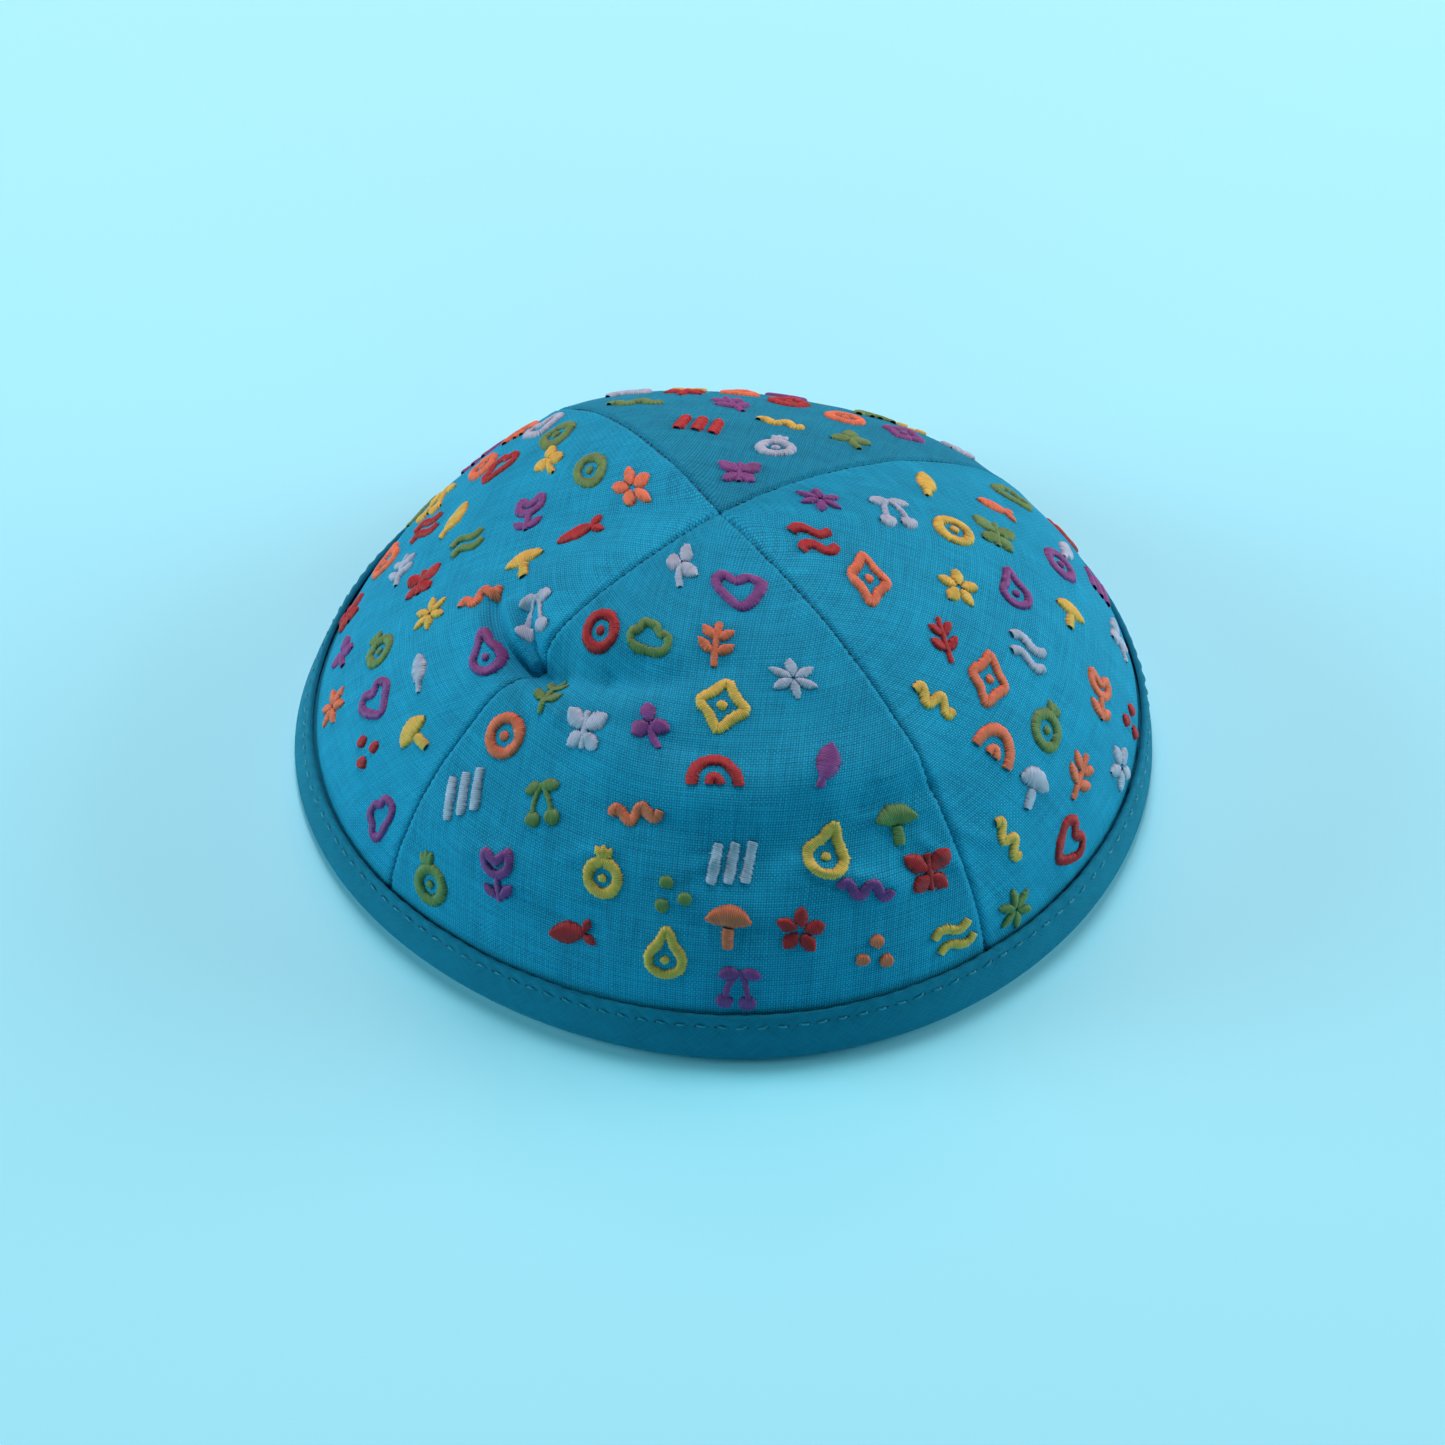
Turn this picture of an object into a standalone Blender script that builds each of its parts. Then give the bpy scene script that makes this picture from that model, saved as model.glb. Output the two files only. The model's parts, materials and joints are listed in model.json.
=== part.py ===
# Embroidered kippah: a domed skullcap of four cloth gores, bound along its rim.
# Metres, +Z up, rim on the ground at z = 0, the gore called front towards -Y.
# Azimuths are degrees from -Y, growing towards +X. Lift runs from 0 at the rim
# to 1 at the crossing of the seams, evenly in the angle of a quarter turn.
import math
from collections import namedtuple

import bmesh
import bpy

# Driving dimensions
RIM_DIAMETER = 0.170
CROWN_HEIGHT = 0.0573
CLOTH_WALL = 0.0014
SEAM_GAP = 0.0003

# Binding, a folded strip that wraps the crown's lower edge
BAND_WALL = 0.0011
BAND_CLEARANCE = 0.0003
BAND_OUTER_HEIGHT = 0.0104
BAND_INNER_HEIGHT = 0.0095
BAND_OUTER_ROUND = 0.0017
BAND_INNER_ROUND = 0.0012
BAND_LIP_ROUND = 0.0004

# Size of the facets
PANEL_ROWS = 26
PANEL_CELL = 0.0048
BAND_SECTIONS = 72
BAND_LEG_ROWS = 3
BAND_ROUND_STEPS = 3

# One row a gore: the seam on its left, seen from outside, and its middle. The
# powers shape the meridian there: (radius share)^plan + (height share)^rise = 1.
Gore = namedtuple("Gore", "name seam_azimuth seam_plan seam_rise middle_plan middle_rise")
GORES = (
    Gore("panel_front", -52.0, 2.10, 1.80, 2.50, 1.70),
    Gore("panel_right", 34.5, 2.90, 1.55, 2.25, 1.80),
    Gore("panel_back", 124.5, 1.90, 1.85, 1.80, 1.60),
    Gore("panel_left", 209.5, 2.20, 1.70, 1.70, 1.45),
)
SEAM_CREASE = 0.5

# The rim isn't a true circle: waves round it, as shares of its radius.
Wave = namedtuple("Wave", "count swell crest_azimuth")
RIM_WAVES = (
    Wave(2, 0.013, 34.5),
    Wave(3, 0.008, 42.0),
    Wave(4, 0.006, 5.0),
)

# Soft folds of the crown, each along a straight run between two places. Width
# and height are shares of the rim's radius; a negative height is a dent.
Fold = namedtuple("Fold", "name azimuth lift end_azimuth end_lift width height")
FOLDS = (
    Fold("seam pucker", -54.0, 0.63, -47.0, 0.65, 0.060, -0.026),
    Fold("upper crease", -57.0, 0.64, -76.0, 0.64, 0.045, -0.012),
    Fold("inner crease", -55.0, 0.65, -67.0, 0.69, 0.040, -0.010),
    Fold("valley", -47.0, 0.66, -23.5, 0.74, 0.055, -0.018),
    Fold("valley end", -23.5, 0.74, -1.0, 0.775, 0.055, -0.010),
    Fold("brow left", -19.0, 0.60, -3.5, 0.565, 0.085, 0.014),
    Fold("brow middle", -3.5, 0.565, 14.5, 0.59, 0.085, 0.014),
    Fold("brow right", 14.5, 0.59, 33.0, 0.60, 0.085, 0.012),
    Fold("hollow under brow", 2.0, 0.46, 24.0, 0.48, 0.090, -0.012),
    Fold("left cheek", -44.0, 0.36, -34.0, 0.34, 0.110, 0.012),
    Fold("low wrinkle", 9.0, 0.43, 23.0, 0.38, 0.045, 0.010),
)

CROWN_COLOUR = (0.010, 0.215, 0.376, 1.0)
BAND_COLOUR = (0.004, 0.120, 0.215, 1.0)
CLOTH_ROUGHNESS = 0.85

RIM_RADIUS = RIM_DIAMETER / 2
CROSSING_RADIUS = 2 * SEAM_GAP
CROWN_RADIUS = RIM_RADIUS - BAND_WALL - BAND_CLEARANCE
EDGE_RISE = BAND_WALL + BAND_CLEARANCE
QUARTER = math.pi / 2
TINY_LIFT = 1e-4


def clear_scene():
    for obj in list(bpy.data.objects):
        bpy.data.objects.remove(obj)


def ease(share):
    return share * share * (3 - 2 * share)


def away_from_seam(share):
    # 0 at a seam and 1 at a gore's middle, leaving the seam with a soft crease.
    return SEAM_CREASE * math.sin(share * QUARTER) + (1 - SEAM_CREASE) * ease(share)


def gore_span(index):
    start = GORES[index].seam_azimuth
    end = GORES[(index + 1) % len(GORES)].seam_azimuth
    return start, start + (end - start) % 360


def powers_at(azimuth):
    # The plan and rise powers of the meridian at this azimuth.
    for index, gore in enumerate(GORES):
        start, end = gore_span(index)
        share = ((azimuth - start) % 360) / (end - start)
        if share < 1:
            break
    following = GORES[(index + 1) % len(GORES)]
    near_end = share > 0.5
    seam_plan = following.seam_plan if near_end else gore.seam_plan
    seam_rise = following.seam_rise if near_end else gore.seam_rise
    blend = away_from_seam(2 * min(share, 1 - share))
    plan = seam_plan + (gore.middle_plan - seam_plan) * blend
    rise = seam_rise + (gore.middle_rise - seam_rise) * blend
    return plan, rise


def rim_swell(azimuth):
    # Share by which the rim stands outside its true circle.
    swell = 0
    for wave in RIM_WAVES:
        swell += wave.swell * math.cos(math.radians(wave.count * (azimuth - wave.crest_azimuth)))
    return swell


def smooth_profile(azimuth, lift):
    # Radius and height of the crown's outer face, without its folds.
    plan, rise = powers_at(azimuth)
    level = math.cos(lift * QUARTER)
    steep = math.sin(lift * QUARTER)
    radius = CROWN_RADIUS * level ** (2 / plan) * (1 + rim_swell(azimuth) * level)
    return radius, CROWN_HEIGHT * steep ** (2 / rise)


def profile_normal(azimuth, lift):
    # Outward normal in the upright plane through the axis.
    below = smooth_profile(azimuth, max(lift - TINY_LIFT, 0))
    above = smooth_profile(azimuth, min(lift + TINY_LIFT, 1))
    out = above[1] - below[1]
    up = below[0] - above[0]
    length = math.hypot(out, up)
    return out / length, up / length


def fold_height(azimuth, lift):
    # Sum of the soft ridges and dents, each a bell across its run.
    total = 0
    for fold in FOLDS:
        across = math.radians(1) * math.cos(fold.lift * QUARTER)
        run = ((fold.end_azimuth - fold.azimuth) * across, (fold.end_lift - fold.lift) * QUARTER)
        turn = (azimuth - fold.azimuth + 180) % 360 - 180
        place = (turn * across, (lift - fold.lift) * QUARTER)
        share = (place[0] * run[0] + place[1] * run[1]) / (run[0] ** 2 + run[1] ** 2)
        share = min(max(share, 0), 1)
        distance = math.hypot(place[0] - share * run[0], place[1] - share * run[1])
        total += RIM_RADIUS * fold.height * math.exp(-((distance / fold.width) ** 2))
    return total


def crown_point(azimuth, lift, depth):
    # A point of the crown's cloth, at a depth under its outer face.
    radius, height = smooth_profile(azimuth, lift)
    out, up = profile_normal(azimuth, lift)
    raised = fold_height(azimuth, lift) - depth
    return radius + out * raised, height + up * raised


def lift_at_height(azimuth, height):
    rise = powers_at(azimuth)[1]
    return math.asin((height / CROWN_HEIGHT) ** (rise / 2)) / QUARTER


def lift_at_crossing(azimuth):
    plan = powers_at(azimuth)[0]
    return math.acos((CROSSING_RADIUS / CROWN_RADIUS) ** (plan / 2)) / QUARTER


def edge_point(azimuth, depth):
    # The crown's lower edge, cut level at EDGE_RISE through the cloth.
    lift = lift_at_height(azimuth, EDGE_RISE)
    radius, height = crown_point(azimuth, lift, depth)
    out, up = profile_normal(azimuth, lift)
    return radius - (EDGE_RISE - height) * up / out, EDGE_RISE


def plan_offset():
    # Half the difference of the rim's reach on each side, so the box is centred.
    outline = []
    for step in range(360):
        reach = RIM_RADIUS + CROWN_RADIUS * rim_swell(step)
        outline.append((reach * math.sin(math.radians(step)), -reach * math.cos(math.radians(step))))
    xs = [point[0] for point in outline]
    ys = [point[1] for point in outline]
    return (max(xs) + min(xs)) / 2, (max(ys) + min(ys)) / 2


def to_world(azimuth, radius, height, centre):
    angle = math.radians(azimuth)
    return (radius * math.sin(angle) - centre[0], -radius * math.cos(angle) - centre[1], height)


def panel_azimuth(span, share, radius):
    # Across the gore, keeping half the seam's gap from each seam at this radius.
    margin = math.degrees(math.asin(SEAM_GAP / 2 / radius))
    return span[0] + margin + (span[1] - span[0] - 2 * margin) * share


def panel_row(span, level, depth, centre):
    # One row of points across a gore, from its left seam to its right one.
    middle = (span[0] + span[1]) / 2
    low = lift_at_height(middle, EDGE_RISE)
    high = lift_at_crossing(middle)
    width = smooth_profile(middle, low + (high - low) * level)[0] * math.radians(span[1] - span[0])
    count = max(2, round(width / PANEL_CELL))
    row = []
    for column in range(count + 1):
        azimuth = span[0] + (span[1] - span[0]) * column / count
        low = lift_at_height(azimuth, EDGE_RISE)
        high = lift_at_crossing(azimuth)
        lift = low + (high - low) * level
        radius, height = crown_point(azimuth, lift, depth)
        if level == 0:
            radius, height = edge_point(azimuth, depth)
        placed = panel_azimuth(span, column / count, radius)
        row.append(to_world(placed, radius, height, centre))
    return row


def lace(mesh, lower, upper):
    # Triangles between two rows that may hold different numbers of points.
    i = 0
    j = 0
    while i < len(lower) - 1 or j < len(upper) - 1:
        along_lower = (i + 1) / (len(lower) - 1)
        along_upper = (j + 1) / (len(upper) - 1)
        if along_lower <= along_upper:
            mesh.faces.new((lower[i], lower[i + 1], upper[j]))
            i += 1
        else:
            mesh.faces.new((lower[i], upper[j + 1], upper[j]))
            j += 1


def wall_between(mesh, outer, inner):
    # The cut edge of the cloth along one border.
    for i in range(len(outer) - 1):
        mesh.faces.new((outer[i], outer[i + 1], inner[i + 1], inner[i]))


def finish_object(name, mesh_builder, material):
    bmesh.ops.recalc_face_normals(mesh_builder, faces=mesh_builder.faces)
    data = bpy.data.meshes.new(name)
    mesh_builder.to_mesh(data)
    mesh_builder.free()
    data.materials.append(material)
    data.shade_smooth()
    data.set_sharp_from_angle(angle=math.radians(50))
    obj = bpy.data.objects.new(name, data)
    bpy.context.scene.collection.objects.link(obj)


def cloth_material(name, colour):
    material = bpy.data.materials.new(name)
    material.use_nodes = True
    shader = material.node_tree.nodes["Principled BSDF"]
    shader.inputs["Base Color"].default_value = colour
    shader.inputs["Roughness"].default_value = CLOTH_ROUGHNESS
    shader.inputs["Metallic"].default_value = 0
    return material


def build_panel(index, centre):
    # A gore: an outer and an inner face joined along its four borders.
    gore = GORES[index]
    span = gore_span(index)
    mesh = bmesh.new()
    faces = {}
    for side, depth in (("outer", 0), ("inner", CLOTH_WALL)):
        rows = [panel_row(span, row / PANEL_ROWS, depth, centre) for row in range(PANEL_ROWS + 1)]
        faces[side] = [[mesh.verts.new(point) for point in row] for row in rows]
        for lower, upper in zip(faces[side], faces[side][1:]):
            lace(mesh, lower, upper)
    for row in (0, -1):
        wall_between(mesh, faces["outer"][row], faces["inner"][row])
    for column in (0, -1):
        outer = [row[column] for row in faces["outer"]]
        inner = [row[column] for row in faces["inner"]]
        wall_between(mesh, outer, inner)
    finish_object(gore.name, mesh, cloth_material(gore.name + "_cloth", CROWN_COLOUR))


def leg_face(azimuth, top, depth):
    # Points up one face of a leg of the binding, from just above the foot.
    heights = [EDGE_RISE + (top - EDGE_RISE) * row / BAND_LEG_ROWS for row in range(1, BAND_LEG_ROWS + 1)]
    return [crown_point(azimuth, lift_at_height(azimuth, height), depth) for height in heights]


def foot_round(side, face, size):
    # Quarter arc from a face of the binding, at radius face, down to the ground.
    points = []
    for step in range(BAND_ROUND_STEPS + 1):
        angle = QUARTER * step / BAND_ROUND_STEPS
        points.append((face - side * size * (1 - math.cos(angle)), size * (1 - math.sin(angle))))
    return points


def band_section(azimuth):
    # The binding's section, a U round the crown's edge with a flat foot.
    outside = -(BAND_CLEARANCE + BAND_WALL)
    inside = CLOTH_WALL + BAND_CLEARANCE + BAND_WALL
    outer_edge = edge_point(azimuth, 0)[0] + BAND_CLEARANCE
    inner_edge = edge_point(azimuth, CLOTH_WALL)[0] - BAND_CLEARANCE
    outer_lip = leg_face(azimuth, BAND_OUTER_HEIGHT, outside + BAND_LIP_ROUND)[-1]
    inner_lip = leg_face(azimuth, BAND_INNER_HEIGHT, inside - BAND_LIP_ROUND)[-1]
    section = [outer_lip]
    section += reversed(leg_face(azimuth, BAND_OUTER_HEIGHT - BAND_LIP_ROUND, outside))
    section += foot_round(1, outer_edge + BAND_WALL, min(BAND_OUTER_ROUND, 2 * BAND_WALL))
    section += reversed(foot_round(-1, inner_edge - BAND_WALL, min(BAND_INNER_ROUND, 2 * BAND_WALL)))
    section += leg_face(azimuth, BAND_INNER_HEIGHT - BAND_LIP_ROUND, inside)
    section += [inner_lip]
    section += reversed(leg_face(azimuth, BAND_INNER_HEIGHT, CLOTH_WALL + BAND_CLEARANCE))
    section += [(inner_edge, BAND_WALL), (outer_edge, BAND_WALL)]
    section += leg_face(azimuth, BAND_OUTER_HEIGHT, -BAND_CLEARANCE)
    return section


def build_band(centre):
    mesh = bmesh.new()
    loops = []
    for step in range(BAND_SECTIONS):
        azimuth = 360 * step / BAND_SECTIONS
        places = [to_world(azimuth, radius, height, centre) for radius, height in band_section(azimuth)]
        loops.append([mesh.verts.new(place) for place in places])
    for here, there in zip(loops, loops[1:] + loops[:1]):
        for i in range(len(here)):
            following = (i + 1) % len(here)
            mesh.faces.new((here[i], here[following], there[following], there[i]))
    finish_object("rim_band", mesh, cloth_material("rim_band_cloth", BAND_COLOUR))


def build_kippah():
    clear_scene()
    centre = plan_offset()
    for index in range(len(GORES)):
        build_panel(index, centre)
    build_band(centre)


build_kippah()
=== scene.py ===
# Embroidered kippah: the finished look of the cap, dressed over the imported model.
# Metres, rim on the ground, the front gore towards -Y. Azimuths are degrees from -Y
# towards +X. Lift runs from 0 at the rim to 1 at the crossing of the seams.
import json
import math

import bpy
import numpy as np
from mathutils import Matrix, Vector

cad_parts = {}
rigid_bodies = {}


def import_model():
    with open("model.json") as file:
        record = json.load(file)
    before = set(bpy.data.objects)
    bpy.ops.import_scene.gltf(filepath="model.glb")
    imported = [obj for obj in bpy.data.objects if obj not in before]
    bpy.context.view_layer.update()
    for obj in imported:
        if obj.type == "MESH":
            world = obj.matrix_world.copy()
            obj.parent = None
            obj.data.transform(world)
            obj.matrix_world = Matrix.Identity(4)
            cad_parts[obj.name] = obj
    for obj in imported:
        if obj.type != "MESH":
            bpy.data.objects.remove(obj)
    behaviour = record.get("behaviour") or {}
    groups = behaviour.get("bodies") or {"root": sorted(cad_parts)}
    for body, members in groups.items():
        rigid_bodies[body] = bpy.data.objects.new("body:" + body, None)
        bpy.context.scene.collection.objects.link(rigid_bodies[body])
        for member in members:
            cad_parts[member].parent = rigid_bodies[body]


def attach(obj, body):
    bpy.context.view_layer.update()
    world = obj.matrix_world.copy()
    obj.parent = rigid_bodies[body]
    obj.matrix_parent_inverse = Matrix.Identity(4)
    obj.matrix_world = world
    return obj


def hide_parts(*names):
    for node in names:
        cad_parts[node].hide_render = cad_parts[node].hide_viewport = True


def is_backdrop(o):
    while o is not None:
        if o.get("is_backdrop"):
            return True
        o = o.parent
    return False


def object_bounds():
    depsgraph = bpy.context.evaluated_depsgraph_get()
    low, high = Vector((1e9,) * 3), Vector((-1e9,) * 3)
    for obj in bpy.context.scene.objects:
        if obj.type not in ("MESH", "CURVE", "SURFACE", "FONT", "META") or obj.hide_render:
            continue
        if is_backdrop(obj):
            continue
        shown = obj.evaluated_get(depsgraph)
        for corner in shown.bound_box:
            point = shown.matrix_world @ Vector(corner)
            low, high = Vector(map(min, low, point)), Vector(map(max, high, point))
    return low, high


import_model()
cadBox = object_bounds()
print("frame loaded, cad box", cadBox)

quarterTurn = math.pi / 2
mm = 0.001

crown = {
    "rimDiameter": 0.170,
    "height": 0.0573,
    "wall": 0.0014,
    "seamCrease": 0.5,
    # piece, node, seam azimuth, seam plan, seam rise, middle plan, middle rise
    "gores": [
        ("crownFront", "panel_front", -52.0, 2.10, 1.80, 2.50, 1.70),
        ("crownRight", "panel_right", 34.5, 2.90, 1.55, 2.25, 1.80),
        ("crownBack", "panel_back", 124.5, 1.90, 1.85, 1.80, 1.60),
        ("crownLeft", "panel_left", 209.5, 2.20, 1.70, 1.70, 1.45),
    ],
    # count, swell, crest azimuth
    "rimWaves": [(2, 0.013, 34.5), (3, 0.008, 42.0), (4, 0.006, 5.0)],
    # azimuth, lift, end azimuth, end lift, width and height as shares of the rim's radius
    "folds": [
        (-54.0, 0.63, -47.0, 0.65, 0.060, -0.026),
        (-57.0, 0.64, -76.0, 0.64, 0.045, -0.012),
        (-55.0, 0.65, -67.0, 0.69, 0.040, -0.010),
        (-47.0, 0.66, -23.5, 0.74, 0.055, -0.018),
        (-23.5, 0.74, -1.0, 0.775, 0.055, -0.010),
        (-19.0, 0.60, -3.5, 0.565, 0.085, 0.014),
        (-3.5, 0.565, 14.5, 0.59, 0.085, 0.014),
        (14.5, 0.59, 33.0, 0.60, 0.085, 0.012),
        (2.0, 0.46, 24.0, 0.48, 0.090, -0.012),
        (-44.0, 0.36, -34.0, 0.34, 0.110, 0.012),
        (9.0, 0.43, 23.0, 0.38, 0.045, 0.010),
    ],
    # the small sharp creases that the cloth shows between the motifs
    "wrinkles": [
        (-51.5, 0.640, -49.5, 0.650, 0.026, -0.0160),
        (-53.0, 0.630, -78.0, 0.626, 0.016, -0.0210),
        (-54.5, 0.645, -73.0, 0.652, 0.014, 0.0150),
        (-52.0, 0.654, -67.0, 0.680, 0.014, -0.0190),
        (-56.0, 0.610, -74.0, 0.590, 0.022, 0.0060),
        (-50.0, 0.643, -43.0, 0.662, 0.019, -0.0130),
        (-43.0, 0.662, -30.0, 0.705, 0.024, -0.0110),
        (-30.0, 0.705, -14.0, 0.745, 0.026, -0.0080),
        (-49.0, 0.615, -37.0, 0.605, 0.018, 0.0090),
        (-50.0, 0.600, -42.0, 0.570, 0.016, -0.0060),
        (-26.0, 0.665, -12.0, 0.680, 0.022, 0.0045),
        (-12.0, 0.640, 2.0, 0.625, 0.020, -0.0045),
        (-6.0, 0.435, -1.0, 0.46, 0.016, 0.0070),
        (10.0, 0.452, 22.0, 0.40, 0.017, 0.0085),
        (12.0, 0.420, 22.0, 0.37, 0.016, -0.0050),
        (29.5, 0.448, 33.5, 0.37, 0.015, 0.0065),
        (27.0, 0.565, 34.0, 0.575, 0.015, 0.0065),
        (22.0, 0.530, 34.0, 0.525, 0.018, -0.0070),
        (24.0, 0.500, 34.0, 0.490, 0.016, 0.0050),
        (36.0, 0.43, 41.0, 0.36, 0.015, 0.0055),
        (-40.0, 0.33, -35.0, 0.36, 0.022, 0.0075),
        (-24.0, 0.41, -20.0, 0.44, 0.020, 0.0070),
        (-30.0, 0.30, -18.0, 0.29, 0.020, -0.0045),
        (-4.0, 0.34, 8.0, 0.32, 0.022, -0.0045),
        (-16.0, 0.52, -6.0, 0.50, 0.022, -0.0050),
    ],
    "foldGain": 1.2,  # the dressed folds stand a little sharper than the plain ones
    "ripple": 0.00024,  # soft uneven swell of the cloth between the stitches
    "rippleSize": 7 * mm,
    "rippleFade": 6 * mm,  # over which the ripple sets in above the binding
    "tuck": 0.32 * mm,  # how far the cloth is drawn in along the binding's upper edge
    "tuckWidth": 1.2 * mm,
    "tipRadius": 0.3 * mm,  # where the gores stop, short of the crossing itself
    "seamCrowding": 0.07,  # how much the columns of points crowd towards the seams
    "rows": 132,
    "columns": 132,
}

seam = {
    "gap": 0.00006,
    "grooveWidth": 0.00055,
    "grooveDepth": 0.00065,
    "shoulderWidth": 0.0026,
    "shoulderHeight": 0.00022,
    "stitchPitch": 0.00145,
    "stitchPull": 0.35,  # share by which the groove is shallower between stitches
    "threadRadius": 0.00013,
    "threadReach": 0.00042,
    "threadDepth": 0.00042,
}

rimRadius = crown["rimDiameter"] / 2


def clearDefaults():
    for item in list(bpy.data.objects):
        if item.type in {"LIGHT", "CAMERA"}:
            bpy.data.objects.remove(item)


def ease(share):
    return share * share * (3 - 2 * share)


def goreSpan(index):
    gores = crown["gores"]
    start = gores[index][2]
    end = gores[(index + 1) % len(gores)][2]
    return start, start + (end - start) % 360


def powersAt(azimuth):
    # plan and rise powers of the meridian at each azimuth
    azimuth = np.asarray(azimuth, float)
    plan = np.zeros(azimuth.shape)
    rise = np.zeros(azimuth.shape)
    gores = crown["gores"]
    for index, gore in enumerate(gores):
        start, end = goreSpan(index)
        following = gores[(index + 1) % len(gores)]
        share = ((azimuth - start) % 360) / (end - start)
        near = 2 * np.minimum(share, 1 - share)
        crease = crown["seamCrease"]
        blend = crease * np.sin(near * quarterTurn) + (1 - crease) * ease(near)
        nearStart = share <= 0.5
        nearEnd = (share > 0.5) & (share < 1)
        for side, part in ((gore, nearStart), (following, nearEnd)):
            plan[part] = (side[3] + (gore[5] - side[3]) * blend)[part]
            rise[part] = (side[4] + (gore[6] - side[4]) * blend)[part]
    return plan, rise


def rimSwell(azimuth):
    swell = 0
    for count, size, crest in crown["rimWaves"]:
        swell = swell + size * np.cos(np.radians(count * (azimuth - crest)))
    return swell


band = {
    "wall": 0.0011,
    "clearance": 0.0003,
    "outerHeight": 0.0104,
    "innerHeight": 0.0095,
    "outerRound": 0.0021,
    "innerRound": 0.0012,
    "lipRound": 0.00045,
    "sections": 720,
    "legRows": 9,
    "roundSteps": 5,
    "stitchDrop": 0.0021,  # of the stitch row, under the upper edge
    "stitchPitch": 0.0037,
    "stitchLength": 0.0021,
    "threadRadius": 0.00023,
    "holeRadius": 0.00036,
    "pinch": 0.00030,
    "pinchWidth": 0.0009,
    "lipWave": 0.00012,
    "lipWidth": 0.0016,
    "uneven": 0.00010,  # slow swell of the tape
    "unevenSize": (0.009, 0.004),
}

crownRadius = rimRadius - band["wall"] - band["clearance"]
edgeRise = band["wall"] + band["clearance"]


def smoothProfile(azimuth, lift):
    plan, rise = powersAt(azimuth)
    level = np.cos(lift * quarterTurn)
    steep = np.sin(lift * quarterTurn)
    radius = crownRadius * level ** (2 / plan) * (1 + rimSwell(azimuth) * level)
    return radius, crown["height"] * steep ** (2 / rise)


def profileNormal(azimuth, lift):
    # outward normal in the upright plane through the axis
    step = 1e-4
    lowRadius, lowHeight = smoothProfile(azimuth, np.maximum(lift - step, 0))
    highRadius, highHeight = smoothProfile(azimuth, np.minimum(lift + step, 1))
    out = highHeight - lowHeight
    up = lowRadius - highRadius
    length = np.hypot(out, up)
    return out / length, up / length


def bellSum(rows, azimuth, lift):
    # ridges and dents, each a bell across its straight run
    total = np.zeros(np.broadcast(azimuth, lift).shape)
    for startAzimuth, startLift, endAzimuth, endLift, width, height in rows:
        across = math.radians(1) * math.cos(startLift * quarterTurn)
        runX = (endAzimuth - startAzimuth) * across
        runY = (endLift - startLift) * quarterTurn
        placeX = ((azimuth - startAzimuth + 180) % 360 - 180) * across
        placeY = (lift - startLift) * quarterTurn
        share = np.clip((placeX * runX + placeY * runY) / (runX**2 + runY**2), 0, 1)
        distance = np.hypot(placeX - share * runX, placeY - share * runY)
        total = total + rimRadius * height * np.exp(-((distance / width) ** 2))
    return total


def softNoise(x, y, z, seed):
    # smooth value noise between -1 and 1, one value for each whole step of x, y and z
    size = 32
    table = np.random.RandomState(seed).uniform(-1, 1, (size, size, size))
    cell = [np.floor(place).astype(int) for place in (x, y, z)]
    share = [ease(place - whole) for place, whole in zip((x, y, z), cell)]
    total = 0
    for i in (0, 1):
        for j in (0, 1):
            for k in (0, 1):
                weight = 1
                for step, part in zip((i, j, k), share):
                    weight = weight * (part if step else 1 - part)
                corner = tuple((whole + step) % size for whole, step in zip(cell, (i, j, k)))
                total = total + weight * table[corner]
    return total


def seamDistance(azimuth, radius):
    # metres to the nearest seam, and which way round the nearest seam lies
    nearest = np.full(np.shape(azimuth), 1.0)
    for gore in crown["gores"]:
        turn = (azimuth - gore[2] + 180) % 360 - 180
        reach = np.where(np.abs(turn) < 90, np.abs(radius * np.sin(np.radians(turn))), 1.0)
        nearest = np.minimum(nearest, reach)
    return nearest


def foldsAt(azimuth, lift):
    folds = crown["foldGain"] * bellSum(crown["folds"], azimuth, lift)
    return folds + bellSum(crown["wrinkles"], azimuth, lift)


def reliefAt(azimuth, lift, radius, height):
    # everything that stands on the smooth dome: folds, creases, ripple and seam grooves
    relief = foldsAt(azimuth, lift)
    x = radius * np.sin(np.radians(azimuth)) / crown["rippleSize"]
    y = radius * np.cos(np.radians(azimuth)) / crown["rippleSize"]
    z = height / crown["rippleSize"]
    ripple = softNoise(x + 40, y + 40, z, 11)
    ripple = ripple + 0.5 * softNoise(1.9 * x + 70, 1.9 * y + 70, 1.9 * z, 12)
    fade = np.clip((height - band["outerHeight"]) / crown["rippleFade"], 0, 1)
    relief = relief + crown["ripple"] * ripple * fade
    above = (height - band["outerHeight"]) / crown["tuckWidth"]
    relief = relief - crown["tuck"] * np.exp(-(above**2))
    near = seamDistance(azimuth, radius)
    along = np.hypot(rimRadius - radius, height)
    pull = 1 - seam["stitchPull"] * (0.5 + 0.5 * np.cos(2 * math.pi * along / seam["stitchPitch"]))
    relief = relief + seam["shoulderHeight"] * np.exp(-((near / seam["shoulderWidth"]) ** 2)) * fade
    relief = relief - seam["grooveDepth"] * pull * np.exp(-((near / seam["grooveWidth"]) ** 2))
    return relief


def crownPoint(azimuth, lift, depth, plain=False):
    radius, height = smoothProfile(azimuth, lift)
    out, up = profileNormal(azimuth, lift)
    if plain:
        relief = bellSum(crown["folds"], azimuth, lift)
    else:
        relief = reliefAt(azimuth, lift, radius, height)
    raised = relief - depth
    return radius + out * raised, height + up * raised


def liftAtHeight(azimuth, height):
    rise = powersAt(azimuth)[1]
    return np.arcsin((height / crown["height"]) ** (rise / 2)) / quarterTurn


def liftAtRadius(azimuth, radius):
    plan = powersAt(azimuth)[0]
    return np.arccos((radius / crownRadius) ** (plan / 2)) / quarterTurn


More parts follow.
